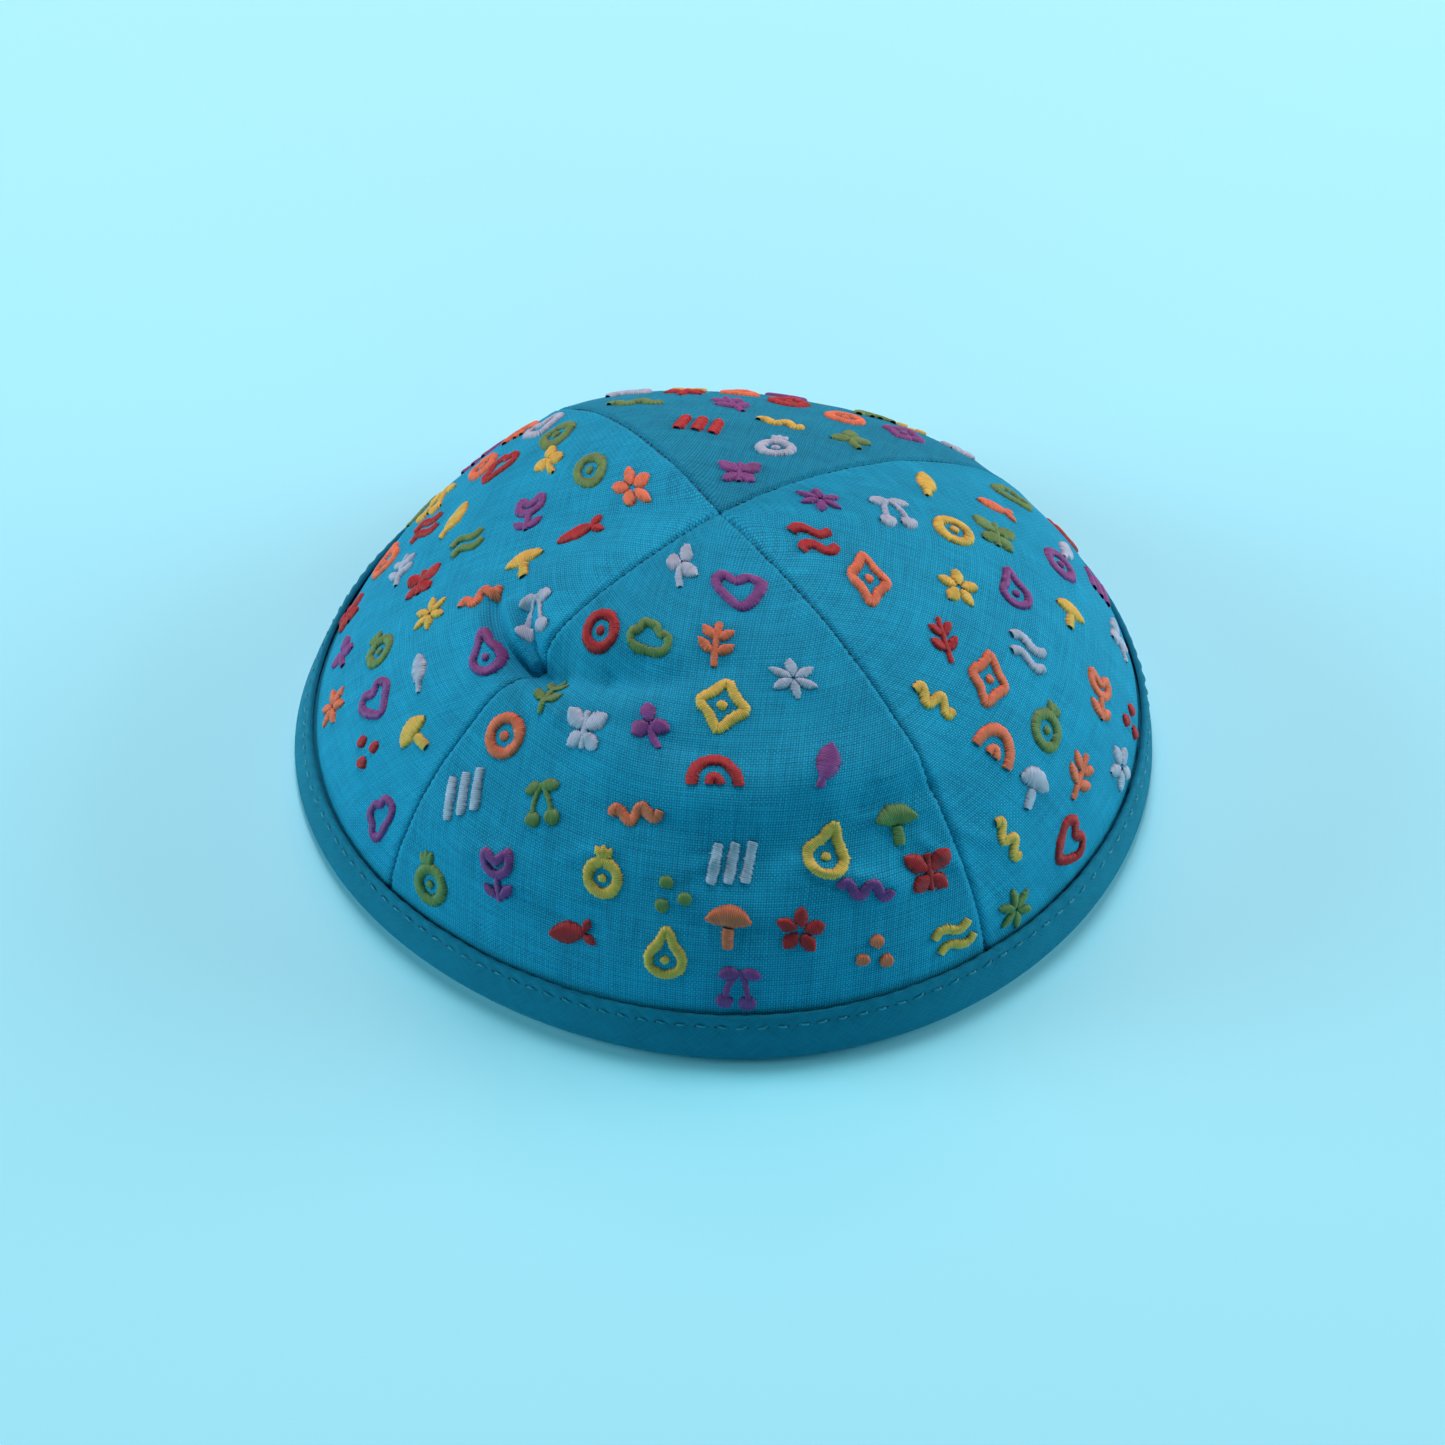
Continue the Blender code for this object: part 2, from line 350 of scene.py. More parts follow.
def planOffset():
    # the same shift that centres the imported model's box
    azimuth = np.arange(360.0)
    reach = rimRadius + crownRadius * rimSwell(azimuth)
    xs = reach * np.sin(np.radians(azimuth))
    ys = -reach * np.cos(np.radians(azimuth))
    return (xs.max() + xs.min()) / 2, (ys.max() + ys.min()) / 2


centre = planOffset()


def toWorld(azimuth, radius, height):
    x = radius * np.sin(np.radians(azimuth)) - centre[0]
    y = -radius * np.cos(np.radians(azimuth)) - centre[1]
    return np.stack([x, y, height], -1)


def gridFaces(rows, columns, start=0, flip=False):
    # quads between the points of a grid, row by row
    faces = []
    for i in range(rows - 1):
        for j in range(columns - 1):
            a = start + i * columns + j
            b = a + columns
            face = (a, a + 1, b + 1, b)
            faces.append(face[::-1] if flip else face)
    return faces


def newPiece(name, points, faces, material):
    data = bpy.data.meshes.new(name)
    data.from_pydata([tuple(p) for p in points], [], faces)
    data.validate()
    data.materials.append(material)
    data.shade_smooth()
    piece = bpy.data.objects.new(name, data)
    bpy.context.scene.collection.objects.link(piece)
    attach(piece, "root")
    return piece


def setUvs(piece, places):
    # places holds one (u, v) for each point of the mesh
    layer = piece.data.uv_layers.new(name="weave")
    corners = np.zeros(len(piece.data.loops), int)
    piece.data.loops.foreach_get("vertex_index", corners)
    layer.data.foreach_set("uv", places[corners].astype(np.float32).ravel())


# Materials

look = {
    "threadPitch": 0.00046,  # of the crown's weave
    "crownDark": (0.0032, 0.085, 0.172),
    "crownLight": (0.0095, 0.400, 0.670),
    "crownRough": 0.82,
    "crownSheen": 0.20,
    "crownSheenTint": (0.10, 0.75, 1.0),
    # painted light and shade: each gore's cloth colour is scaled by how light it looks as its grain
    # turns to the light, the back gore darkest
    "gorePaintedShade": {"crownFront": 1.0, "crownRight": 1.02, "crownBack": 0.72, "crownLeft": 1.06},
    "bandDark": (0.0008, 0.085, 0.155),
    "bandLight": (0.0022, 0.225, 0.360),
    "bandPitch": 0.00026,
    # how strongly the weave shows: contrast of its painted light and shade, slubs and depth of the bump
    "crownWeave": (0.66, 1.0, 0.00011),
    "bandWeave": (0.35, 1.2, 0.00005),
    "mottleScale": 110,
    "mottle": 0.40,
    "seamThread": (0.0040, 0.070, 0.120),
    "bandThread": (0.0080, 0.250, 0.380),
    "threadRough": 0.52,
    "threadSheen": 0.15,
}

threads = {
    "stitchRed": (0.440, 0.012, 0.020),
    "stitchCoral": (0.880, 0.160, 0.075),
    "stitchYellow": (0.750, 0.430, 0.074),
    "stitchLilac": (0.430, 0.450, 0.600),
    "stitchPurple": (0.240, 0.047, 0.235),
    "stitchGreen": (0.145, 0.232, 0.070),
}


def mathNode(tree, operation, first, second=None, clamp=False):
    node = tree.nodes.new("ShaderNodeMath")
    node.operation = operation
    node.use_clamp = clamp
    for socket, value in zip(node.inputs, (first, second)):
        if value is None:
            continue
        if isinstance(value, (int, float)):
            socket.default_value = value
        else:
            tree.links.new(value, socket)
    return node.outputs[0]


def stretchedNoise(tree, vector, scale, detail):
    # noise drawn out along one way of the cloth, like slubs in its threads
    stretch = tree.nodes.new("ShaderNodeMapping")
    stretch.inputs["Scale"].default_value = scale
    tree.links.new(vector, stretch.inputs[0])
    noise = tree.nodes.new("ShaderNodeTexNoise")
    noise.inputs["Scale"].default_value = 1
    noise.inputs["Detail"].default_value = detail
    tree.links.new(stretch.outputs[0], noise.inputs["Vector"])
    return mathNode(tree, "SUBTRACT", noise.outputs["Fac"], 0.5)


def newGroup(name, inputs):
    # a group that takes thread counts and some amounts, and gives a tone and a height
    group = bpy.data.node_groups.new(name, "ShaderNodeTree")
    group.interface.new_socket("Threads", in_out="INPUT", socket_type="NodeSocketVector")
    for label, default in inputs:
        socket = group.interface.new_socket(label, in_out="INPUT", socket_type="NodeSocketFloat")
        socket.default_value = default
    for label in ("Tone", "Height"):
        group.interface.new_socket(label, in_out="OUTPUT", socket_type="NodeSocketFloat")
    return group, group.nodes.new("NodeGroupInput"), group.nodes.new("NodeGroupOutput")


def newMaterial(name, toneGroup):
    # a plain material with the tone group already fed by the piece's thread counts
    material = bpy.data.materials.new(name)
    material.use_nodes = True
    tree = material.node_tree
    uv = tree.nodes.new("ShaderNodeUVMap")
    uv.uv_map = "weave"
    tone = tree.nodes.new("ShaderNodeGroup")
    tone.node_tree = toneGroup
    tree.links.new(uv.outputs[0], tone.inputs["Threads"])
    return material, tree, tree.nodes["Principled BSDF"], tone


def colourAndBump(tree, shader, tone, height, colours, depth, strength):
    dark, light = colours
    ramp = tree.nodes.new("ShaderNodeMix")
    ramp.data_type = "RGBA"
    ramp.inputs["A"].default_value = (*dark, 1)
    ramp.inputs["B"].default_value = (*light, 1)
    tree.links.new(tone, ramp.inputs["Factor"])
    tree.links.new(ramp.outputs["Result"], shader.inputs["Base Color"])
    bump = tree.nodes.new("ShaderNodeBump")
    bump.inputs["Distance"].default_value = depth
    bump.inputs["Strength"].default_value = strength
    tree.links.new(height, bump.inputs["Height"])
    tree.links.new(bump.outputs[0], shader.inputs["Normal"])


def buildWeaveGroup():
    # plain weave in thread counts: warp and weft on top by turns, each with its own slubs; the tone also
    # holds painted light and shade, lighter on each crossing's crown and darker between the threads
    group, into, outOf = newGroup("plainWeave", [("Slub", 0.5), ("Contrast", 0.6)])
    split = group.nodes.new("ShaderNodeSeparateXYZ")
    group.links.new(into.outputs["Threads"], split.inputs[0])
    waves = []
    for axis in (0, 1):
        turned = mathNode(group, "MULTIPLY", split.outputs[axis], math.pi)
        waves.append(mathNode(group, "SINE", turned))
    crossing = mathNode(group, "MULTIPLY", waves[0], waves[1])
    onTop = mathNode(group, "ADD", mathNode(group, "MULTIPLY", crossing, 1.6), 0.5, clamp=True)
    warp = stretchedNoise(group, into.outputs["Threads"], (0.9, 0.045, 1), 2)
    weft = stretchedNoise(group, into.outputs["Threads"], (0.045, 0.9, 1), 2)
    shown = mathNode(group, "MULTIPLY", warp, onTop)
    hidden = mathNode(group, "MULTIPLY", weft, mathNode(group, "SUBTRACT", 1, onTop))
    slub = mathNode(group, "MULTIPLY", mathNode(group, "ADD", shown, hidden), into.outputs["Slub"])
    # painted light and shade: lighter on the crown of each crossing, darker between the threads
    topOf = mathNode(group, "ABSOLUTE", crossing)
    crossingShade = mathNode(group, "SUBTRACT", topOf, 0.4)
    crossingShade = mathNode(group, "MULTIPLY", crossingShade, into.outputs["Contrast"])
    # painted light: warp and weft catch the light a little differently
    side = mathNode(group, "MULTIPLY", mathNode(group, "SUBTRACT", onTop, 0.5), 0.12)
    even = mathNode(group, "ADD", crossingShade, side)
    tone = mathNode(group, "ADD", even, mathNode(group, "ADD", slub, 0.5), clamp=True)
    group.links.new(tone, outOf.inputs["Tone"])
    height = mathNode(group, "ADD", topOf, mathNode(group, "MULTIPLY", slub, 0.7))
    group.links.new(height, outOf.inputs["Height"])
    return group


def buildClothMaterial(name, weaveGroup, dark, light, paintedShade, weave):
    # dyed cotton: weave tone, soft mottling and a light sheen, with each gore's colours scaled by
    # painted light and shade
    contrast, slub, bumpDepth = weave
    material, tree, shader, tone = newMaterial(name, weaveGroup)
    shader.inputs["Roughness"].default_value = look["crownRough"]
    shader.inputs["Sheen Weight"].default_value = look["crownSheen"]
    shader.inputs["Sheen Roughness"].default_value = 0.5
    shader.inputs["Sheen Tint"].default_value = (*look["crownSheenTint"], 1)
    shader.inputs["Specular IOR Level"].default_value = 0.15
    tone.inputs["Slub"].default_value = slub
    tone.inputs["Contrast"].default_value = contrast
    place = tree.nodes.new("ShaderNodeTexCoord")
    mottle = tree.nodes.new("ShaderNodeTexNoise")
    mottle.inputs["Scale"].default_value = look["mottleScale"]
    mottle.inputs["Detail"].default_value = 5
    mottle.inputs["Roughness"].default_value = 0.6
    tree.links.new(place.outputs["Object"], mottle.inputs["Vector"])
    patch = mathNode(tree, "SUBTRACT", mottle.outputs["Fac"], 0.5)
    patch = mathNode(tree, "MULTIPLY", patch, look["mottle"])
    mottled = mathNode(tree, "ADD", tone.outputs["Tone"], patch, clamp=True)
    # painted light and shade: both colours are scaled by how light this gore looks under the lamps
    paintedShadeColours = [[channel * paintedShade for channel in colour] for colour in (dark, light)]
    colourAndBump(tree, shader, mottled, tone.outputs["Height"], paintedShadeColours, bumpDepth, 0.8)
    return material


def buildThreadGroup():
    # floss: each thread has a tone of its own; painted shade darkens the partings where two threads meet
    # and the stroke's edges, where it sinks into the cloth beside its needle holes
    group, into, outOf = newGroup("flossTone", [("Unevenness", 0.6), ("PartingShade", 0.34)])
    split = group.nodes.new("ShaderNodeSeparateXYZ")
    group.links.new(into.outputs["Threads"], split.inputs[0])
    turned = mathNode(group, "MULTIPLY", split.outputs[0], math.pi)
    crest = mathNode(group, "ABSOLUTE", mathNode(group, "SINE", turned))
    single = stretchedNoise(group, into.outputs["Threads"], (1.1, 0.5, 1), 1)
    place = group.nodes.new("ShaderNodeTexCoord")
    patch = stretchedNoise(group, place.outputs["Object"], (420, 420, 420), 2)
    uneven = mathNode(group, "ADD", single, patch)
    uneven = mathNode(group, "MULTIPLY", uneven, into.outputs["Unevenness"])
    # painted shade: darker in the parting between two threads, lighter on each thread's crest
    partingShade = mathNode(group, "SUBTRACT", crest, 0.6)
    partingShade = mathNode(group, "MULTIPLY", partingShade, into.outputs["PartingShade"])
    # painted shade along the stroke's edges, where it sinks into the cloth, partly the darker needle
    # holes there
    rim = mathNode(group, "SUBTRACT", mathNode(group, "ABSOLUTE", split.outputs[1]), 0.72)
    edgeShadeAndHoles = mathNode(group, "MULTIPLY", rim, 3.2, clamp=True)
    edgeShadeAndHoles = mathNode(group, "MULTIPLY", edgeShadeAndHoles, 0.75)
    lit = mathNode(group, "ADD", mathNode(group, "ADD", uneven, partingShade), 0.62)
    tone = mathNode(group, "SUBTRACT", lit, edgeShadeAndHoles, clamp=True)
    group.links.new(tone, outOf.inputs["Tone"])
    group.links.new(mathNode(group, "ADD", crest, single), outOf.inputs["Height"])
    return group


def buildThreadMaterial(name, threadGroup, colour, rough, sheen):
    material, tree, shader, tone = newMaterial(name, threadGroup)
    shader.inputs["Roughness"].default_value = rough
    shader.inputs["Specular IOR Level"].default_value = 0.30
    shader.inputs["Sheen Weight"].default_value = sheen
    shader.inputs["Sheen Roughness"].default_value = 0.4
    # the dark end of this range carries the painted shade at the partings and edges
    colours = [channel * 0.25 for channel in colour], [min(channel * 1.25, 1) for channel in colour]
    bumpDepth = 0.00008
    colourAndBump(tree, shader, tone.outputs["Tone"], tone.outputs["Height"], colours, bumpDepth, 0.7)
    return material


weaveGroup = buildWeaveGroup()
threadGroup = buildThreadGroup()
# each gore gets its own copy of the cloth, made lighter or darker by painted light and shade
crownCloths = {
    name: buildClothMaterial(
        name + "Cloth", weaveGroup, look["crownDark"], look["crownLight"], paintedShade, look["crownWeave"]
    )
    for name, paintedShade in look["gorePaintedShade"].items()
}
bandCloth = buildClothMaterial(
    "bandCloth", weaveGroup, look["bandDark"], look["bandLight"], 1.0, look["bandWeave"]
)
seamThread = buildThreadMaterial("seamThread", threadGroup, look["seamThread"], 0.6, 0.1)
bandThread = buildThreadMaterial("bandThread", threadGroup, look["bandThread"], 0.5, 0.2)
print("materials ready")


# Crown


def goreMiddle(index):
    # the middle meridian of a gore, as lift, radius and arc length from the rim
    start, end = goreSpan(index)
    lift = np.linspace(0, 0.9995, 400)
    radius, height = smoothProfile(np.full(lift.shape, (start + end) / 2), lift)
    length = np.concatenate([[0], np.cumsum(np.hypot(np.diff(radius), np.diff(height)))])
    return (start + end) / 2, lift, radius, length


def buildGore(index):
    name, node = crown["gores"][index][:2]
    start, end = goreSpan(index)
    across = np.linspace(0, 1, crown["columns"] + 1)
    # columns crowd towards the seams, where the cloth turns in
    across = across - crown["seamCrowding"] * np.sin(2 * math.pi * across)
    up = np.linspace(0, 1, crown["rows"] + 1)[:, None]
    azimuth = np.broadcast_to(start + (end - start) * across, (len(up), len(across)))
    low = liftAtHeight(azimuth, edgeRise)
    high = liftAtRadius(azimuth, crown["tipRadius"])
    lift = low + (high - low) * up
    middle, lifts, radii, lengths = goreMiddle(index)
    points = []
    for depth in (0, crown["wall"]):
        radius, height = crownPoint(azimuth, lift, depth)
        height[0] = edgeRise
        margin = np.degrees(np.arcsin(seam["gap"] / 2 / np.maximum(radius, 0.0002)))
        placed = start + margin + (end - start - 2 * margin) * across
        points.append(toWorld(placed, radius, height).reshape(-1, 3))
    rows, columns = azimuth.shape
    count = rows * columns
    faces = gridFaces(rows, columns) + gridFaces(rows, columns, start=count, flip=True)
    borders = [
        list(range(columns))[::-1],
        [(rows - 1) * columns + j for j in range(columns)],
        [i * columns for i in range(rows)],
        [i * columns + columns - 1 for i in range(rows)][::-1],
    ]
    for border in borders:
        for a, b in zip(border, border[1:]):
            faces.append((a, b, b + count, a + count))
    piece = newPiece(name, np.concatenate(points), faces, crownCloths[name])
    upward = np.interp(lift, lifts, lengths)
    wide = np.radians(azimuth - middle) * np.interp(lift, lifts, radii)
    places = np.stack([wide, upward], -1).reshape(-1, 2) / look["threadPitch"]
    setUvs(piece, np.concatenate([places, places]))
    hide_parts(node)
    return piece


for index in range(len(crown["gores"])):
    buildGore(index)
print("crown built")


# Binding


def bandOffsets(azimuth, height, top):
    # soft pull of the stitches: the leg is pinched at the row and the lip waves a little
    along = np.radians(azimuth) * rimRadius
    phase = 2 * math.pi * along / band["stitchPitch"]
    row = np.exp(-(((top - band["stitchDrop"] - height) / band["pinchWidth"]) ** 2))
    lip = np.exp(-(((top - height) / band["lipWidth"]) ** 2))
    long, tall = band["unevenSize"]
    uneven = softNoise(along / long + 50, height / tall + 50, 0 * along, 21)
    pinch = band["pinch"] * row * (0.75 + 0.25 * np.cos(phase))
    return band["lipWave"] * lip * (np.sin(phase) + uneven) - pinch + band["uneven"] * uneven


def legPoints(azimuth, top, depth, side):
    # one face of a leg from above the foot to its lip, side 1 outside and -1 inside
    rows = []
    for step in range(1, band["legRows"] + 1):
        height = edgeRise + (top - edgeRise) * step / band["legRows"]
        lift = liftAtHeight(azimuth, height)
        radius, level = crownPoint(azimuth, lift, depth, plain=True)
        out, up = profileNormal(azimuth, lift)
        pull = bandOffsets(azimuth, height, top) if side else 0
        rows.append((radius + side * out * pull, level + side * up * pull))
    return rows


def edgeRadius(azimuth, depth):
    lift = liftAtHeight(azimuth, edgeRise)
    radius, height = crownPoint(azimuth, lift, depth, plain=True)
    out, up = profileNormal(azimuth, lift)
    return radius - (edgeRise - height) * up / out


def footRound(side, face, size):
    points = []
    for step in range(band["roundSteps"] + 1):
        angle = quarterTurn * step / band["roundSteps"]
        inward = side * size * (1 - math.cos(angle))
        points.append((face - inward, size * (1 - math.sin(angle)) + 0 * face))
    return points


def lipRound(azimuth, top, depth, side):
    # half round over the top of a leg, from its showing face to the crown's side
    points = []
    half = band["wall"] / 2
    lift = liftAtHeight(azimuth, top - band["lipRound"])
    for angle in np.linspace(0.15 * math.pi, 0.85 * math.pi, 5):
        away = depth - side * half * math.cos(angle)
        radius, height = crownPoint(azimuth, lift, away, plain=True)
        out, up = profileNormal(azimuth, lift)
        rise = half * 0.9 * math.sin(angle) + bandOffsets(azimuth, top, top) * 0.6
        points.append((radius - up * rise, height + out * rise))
    return points


def buildBand():
    azimuth = np.arange(band["sections"]) * 360.0 / band["sections"]
    outside = -(band["clearance"] + band["wall"])
    inside = crown["wall"] + band["clearance"] + band["wall"]
    outerEdge = edgeRadius(azimuth, 0) + band["clearance"]
    innerEdge = edgeRadius(azimuth, crown["wall"]) - band["clearance"]
    outerTop = band["outerHeight"] - band["lipRound"]
    innerTop = band["innerHeight"] - band["lipRound"]
    loop = lipRound(azimuth, band["outerHeight"], outside + band["wall"] / 2, 1)[::-1]
    loop += legPoints(azimuth, outerTop, outside, 1)[::-1]
    loop += footRound(1, outerEdge + band["wall"], band["outerRound"])
    loop += footRound(-1, innerEdge - band["wall"], band["innerRound"])[::-1]
    loop += legPoints(azimuth, innerTop, inside, -1)
    loop += lipRound(azimuth, band["innerHeight"], inside - band["wall"] / 2, -1)[::-1]
    loop += legPoints(azimuth, innerTop, crown["wall"] + band["clearance"], 0)[::-1]
    loop += [(innerEdge, band["wall"] + 0 * azimuth), (outerEdge, band["wall"] + 0 * azimuth)]
    loop += legPoints(azimuth, outerTop, -band["clearance"], 0)
    points = np.stack([toWorld(azimuth, radius, height) for radius, height in loop], 1)
    sections, around = points.shape[:2]
    ring = np.concatenate([points, points[:1]])
    ring = np.concatenate([ring, ring[:, :1]], axis=1)
    girth = np.linalg.norm(np.diff(ring, axis=1, prepend=ring[:, :1]), axis=2).mean(axis=0).cumsum()
    along = rimRadius * 2 * math.pi / sections
    faces = []
    corners = []
    for i in range(sections):
        for j in range(around):
            face = []
            for row, column in ((i, j), (i, j + 1), (i + 1, j + 1), (i + 1, j)):
                face.append((row % sections) * around + column % around)
                corners.append((row * along + girth[column], row * along - girth[column]))
            faces.append(face)
    piece = newPiece("rimBinding", points.reshape(-1, 3), faces, bandCloth)
    # bias cut: the weave lies at 45 degrees to the rim
    layer = piece.data.uv_layers.new(name="weave")
    places = np.array(corners, np.float32) / (math.sqrt(2) * look["bandPitch"])
    layer.data.foreach_set("uv", places.ravel())
    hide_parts("rim_band")
    return piece


buildBand()
print("binding built")


# Stitches of the binding and the seams


def tubeAlong(paths, radius, sides=6):
    # closed little tubes with drawn-in ends, one for each path of points and up vectors
    points = []
    faces = []
    places = []
    for path, normal in paths:
        path = np.asarray(path)
        start = len(points)
        rings = len(path)
        heading = np.gradient(path, axis=0)
        heading /= np.linalg.norm(heading, axis=1)[:, None]
        side = np.cross(heading, normal)
        side /= np.linalg.norm(side, axis=1)[:, None]
        over = np.cross(side, heading)
        for i in range(rings):
            slim = 0.45 if i in (0, rings - 1) else 1.0
            for k in range(sides):
                turn = 2 * math.pi * k / sides
                spoke = math.cos(turn) * side[i] + math.sin(turn) * over[i]
                points.append(path[i] + radius * slim * spoke)
                places.append((k / 3 + 0.37 * i, 0))
        for i in range(rings - 1):
            for k in range(sides):
                a = start + i * sides + k
                b = start + i * sides + (k + 1) % sides
                faces.append((a, b, b + sides, a + sides))
        faces.append(tuple(start + k for k in range(sides))[::-1])
        faces.append(tuple(start + (rings - 1) * sides + k for k in range(sides)))
    return points, faces, places


def worldNormal(azimuth, lift):
    out, up = profileNormal(azimuth, lift)
    angle = np.radians(azimuth)
    return np.stack([out * np.sin(angle), -out * np.cos(angle), up], -1)


def buildBandStitches(name, top, depth, side):
    count = round(2 * math.pi * rimRadius / band["stitchPitch"])
    height = top - band["stitchDrop"]
    turn = 360.0 / count
    reach = turn * band["stitchLength"] / band["stitchPitch"] / 2
    random = np.random.RandomState(31)
    paths = []
    for i in range(count):
        jitter = random.uniform(-0.06, 0.06, 2)
        azimuth = (i + 0.5 + jitter[0]) * turn + np.linspace(-reach, reach, 7)
        level = height + jitter[1] * 0.004 * np.linspace(-1, 1, 7)
        lift = liftAtHeight(azimuth, level)
        arch = band["threadRadius"] * (0.9 - 2.2 * np.abs(np.linspace(-1, 1, 7)) ** 4)
        pull = bandOffsets(azimuth, level, top)
        radius, placed = crownPoint(azimuth, lift, depth - side * (pull + arch), plain=True)
        paths.append((toWorld(azimuth, radius, placed), side * worldNormal(azimuth, lift)))
    points, faces, places = tubeAlong(paths, band["threadRadius"])
    setUvs(newPiece(name, points, faces, bandThread), np.array(places))


def buildNeedleHoleShade(name, top, depth, side):
    # painted shade: a small dark disc, sunk a little, where each stitch of the binding goes in
    count = round(2 * math.pi * rimRadius / band["stitchPitch"])
    turn = 360.0 / count
    points = []
    faces = []
    for i in range(count):
        for end in (-0.5, 0.5):
            azimuth = (i + 0.5) * turn + end * turn * band["stitchLength"] / band["stitchPitch"]
            spin = np.linspace(0, 2 * math.pi, 10, endpoint=False)
            reach = np.concatenate([[0], np.full(10, band["holeRadius"])])
            spin = np.concatenate([[0], spin])
            around = azimuth + np.degrees(1.25 * reach * np.cos(spin) / rimRadius)
            level = top - band["stitchDrop"] + reach * np.sin(spin)
            lift = liftAtHeight(around, level)
            lying = bandOffsets(around, level, top) + np.where(reach > 0, 0.00001, 0.00007)
            radius, placed = crownPoint(around, lift, depth - side * lying, plain=True)
            start = len(points)
            points += list(toWorld(around, radius, placed))
            faces += [(start, start + 1 + k, start + 1 + (k + 1) % 10) for k in range(10)]
    piece = newPiece(name, points, faces, seamThread)
    setUvs(piece, np.zeros((len(points), 2)))


def buildSeamStitches():
    # little bars of thread that tie the two edges together down in each seam
    points = []
    faces = []
    places = []
    for gore in crown["gores"]:
        lift = np.linspace(0.14, 0.985, 900)
        azimuth = np.full(lift.shape, gore[2])
        radius, height = smoothProfile(azimuth, lift)
        length = np.concatenate([[0], np.cumsum(np.hypot(np.diff(radius), np.diff(height)))])
        paths = []
        for place in np.arange(0.0008, length[-1], seam["stitchPitch"]):
            at = np.interp(place, length, lift)
            away = np.interp(place, length, radius)
            turn = np.degrees(seam["threadReach"] / away)
            across = gore[2] + turn * np.linspace(-1, 1, 5)
            lifts = at + 0.002 * np.linspace(-1, 1, 5)
            sunk = seam["threadDepth"] - 0.00012 * np.array([0, 0.7, 1, 0.7, 0])
            r, h = smoothProfile(across, lifts)
            out, up = profileNormal(across, lifts)
            raised = foldsAt(across, lifts) - sunk
            path = toWorld(across, r + out * raised, h + up * raised)
            paths.append((path, worldNormal(across, lifts)))
        made, joined, laid = tubeAlong(paths, seam["threadRadius"], sides=5)
        faces += [tuple(v + len(points) for v in face) for face in joined]
        points += made
        places += laid
    piece = newPiece("seamStitches", points, faces, seamThread)
    setUvs(piece, np.array(places))


outerFace = -(band["clearance"] + band["wall"])
innerFace = crown["wall"] + band["clearance"] + band["wall"]
buildBandStitches("bindingStitches", band["outerHeight"], outerFace, 1)
buildBandStitches("bindingStitchesInside", band["innerHeight"], innerFace, -1)
# dark discs of painted shade in the binding's needle holes
buildNeedleHoleShade("needleHoleShade", band["outerHeight"], outerFace, 1)
buildSeamStitches()
print("stitches built")


# Embroidery: small scattered motifs in padded satin stitch

embroidery = {
    "seed": 7,
    "spacing": 12.4 * mm,
    "spacingLow": 10.8 * mm,
    "seamMargin": 5.9 * mm,
    "pucker": (-50.5, 0.645),  # azimuth and lift of the pucker, which the motifs keep clear of
    "puckerMargin": 7.6 * mm,
    "lowMargin": 15.3 * mm,
    "topMargin": 10.0 * mm,
    "tries": 1500,
    "weight": 1.17,  # how bold all the strokes are
    "strokeWidth": 2.35,  # the widths and places of the motifs are in millimetres
    "threadPitch": 0.34,
    "padHeight": 0.56,
    "ribHeight": 0.06,
    "ragged": 0.19,
    "whiskers": 0.07,  # share of the threads that reach out past the others
    "sink": 0.25,
    "sway": 0.13,  # how far a stroke wanders from its line
    "swayLength": 2.6,
    "swell": 0.09,  # share by which its width varies
    "notch": 0.10,  # how far the cloth shows in between two threads
    "strayReach": (0.15, 0.45),
    "lean": 0.12,
    "acrossPoints": 7,
    "tilt": 17,
    "sizeLow": 0.85,
    "sizeHigh": 0.98,
}


def arc(x, y, rx, ry, start, end, steps=24):
    turns = [math.radians(start + (end - start) * i / steps) for i in range(steps + 1)]
    return [(x + rx * math.cos(t), y + ry * math.sin(t)) for t in turns]


def stroke(points, width=None, ends="round", closed=False):
    width = embroidery["weight"] * (width or embroidery["strokeWidth"])
    return {"points": points, "width": width, "ends": ends, "closed": closed}


def petals(x, y, angles, inner, outer, width):
    made = []
    for angle in angles:
        c = math.cos(math.radians(angle))
        s = math.sin(math.radians(angle))
        ends = [(x + inner * c, y + inner * s), (x + outer * c, y + outer * s)]
        made.append(stroke(ends, width, "leaf"))
    return made


def knot(x, y, width=2.0):
    return stroke([(x - 0.5 * width, y), (x + 0.5 * width, y)], width, "disc")


def daisy():
    return petals(0, 0, [90, 162, 234, 306, 18], 0.7, 4.9, 3.0)


def heart():
    half = [(0, -4.2), (-3.4, -0.6), (-4.0, 2.2), (-2.1, 3.9), (0, 2.4)]
    outline = half + [(-x, y) for x, y in half[3:0:-1]]
    return [stroke(outline, 2.2, closed=True)]


def sprig():
    leaves = petals(0, -2.2, [36, 144], 0.3, 4.6, 2.3) + petals(0, 0.9, [40, 140], 0.3, 4.2, 2.2)
    return [stroke([(0.4, -5.0), (0, 0), (0.1, 4.9)], 1.5)] + leaves


def pomegranate():
    crest = petals(0, 2.2, [58, 90, 122], 0.3, 3.1, 1.8)
    return crest + [stroke(arc(0, -1.2, 3.1, 3.1, 90, 450), 2.3, closed=True), knot(0, -1.2, 1.8)]


def rainbow():
    inner = stroke(arc(0, -2.4, 1.0, 1.5, 0, 180), 2.0)
    return [stroke(arc(0, -2.6, 4.3, 5.2, 0, 180), 2.3), inner]


def wave():
    points = [(-5.0 + 10.0 * i / 40, 1.25 * math.sin(4 * math.pi * i / 40)) for i in range(41)]
    return [stroke(points, 2.2)]


